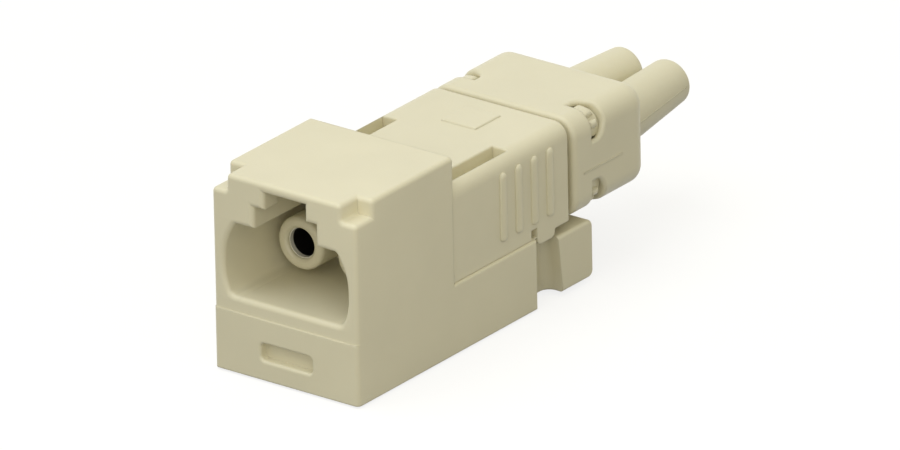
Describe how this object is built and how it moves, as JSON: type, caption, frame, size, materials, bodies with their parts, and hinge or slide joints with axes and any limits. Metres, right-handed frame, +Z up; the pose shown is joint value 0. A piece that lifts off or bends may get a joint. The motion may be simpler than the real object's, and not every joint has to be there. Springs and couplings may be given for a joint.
{
  "type": "duplex fibre optic jack module",
  "caption": "Snap-in duplex fibre optic jack with a latch-slot plug opening, sprung ferrules in split sleeves, a release lever, a rear cap and tapered cable boots.",
  "frame": {"origin": "middle of the lower edge of the front face, on the underside of the housing", "axes": "+X to the right seen from the front, +Y backwards along the fibres, +Z up"},
  "size_m": [0.0148, 0.0496, 0.0175],
  "materials": {
    "housing_plastic": "satin moulded, ivory",
    "body_plastic": "satin moulded, ivory",
    "boot_plastic": "soft satin, ivory",
    "stop_plastic": "plain moulded",
    "guide_plastic": "smooth tubing",
    "ferrule_ceramic": "polished ceramic",
    "sleeve_metal": "bright bronze strip",
    "collar_metal": "nickel plated, turned",
    "spring_steel": "drawn wire",
    "crimp_metal": "plain turned"
  },
  "bodies": {
    "jack": {"module_housing": "housing_plastic", "jack_body": "body_plastic", "sleeve_holder": "body_plastic", "rear_cap": "body_plastic", "split_sleeve_left": "sleeve_metal", "split_sleeve_right": "sleeve_metal", "spring_left": "spring_steel", "spring_right": "spring_steel", "spring_stop_left": "stop_plastic", "spring_stop_right": "stop_plastic", "crimp_ring_left": "crimp_metal", "crimp_ring_right": "crimp_metal", "boot_left": "boot_plastic", "boot_right": "boot_plastic"},
    "lever": {"release_lever": "housing_plastic"},
    "ferrule_assembly_left": {"ferrule_left": "ferrule_ceramic", "ferrule_collar_left": "collar_metal", "guide_tube_left": "guide_plastic"},
    "ferrule_assembly_right": {"ferrule_right": "ferrule_ceramic", "ferrule_collar_right": "collar_metal", "guide_tube_right": "guide_plastic"}
  },
  "joints": [
    {"name": "release_lever_flex", "type": "hinge", "parent": "jack", "child": "lever", "pos_m": [0, 0.003, 0.0008], "axis": [1, 0, 0], "range_deg": [0, 0.9], "stiffness_Nm_per_rad": 3},
    {"name": "ferrule_slide_left", "type": "slide", "parent": "jack", "child": "ferrule_assembly_left", "axis": [0, 1, 0], "range_m": [0, 0.0006], "stiffness_N_per_m": 3000, "deforming": ["spring_left"]},
    {"name": "ferrule_slide_right", "type": "slide", "parent": "jack", "child": "ferrule_assembly_right", "axis": [0, 1, 0], "range_m": [0, 0.0006], "stiffness_N_per_m": 3000, "deforming": ["spring_right"]}
  ]
}
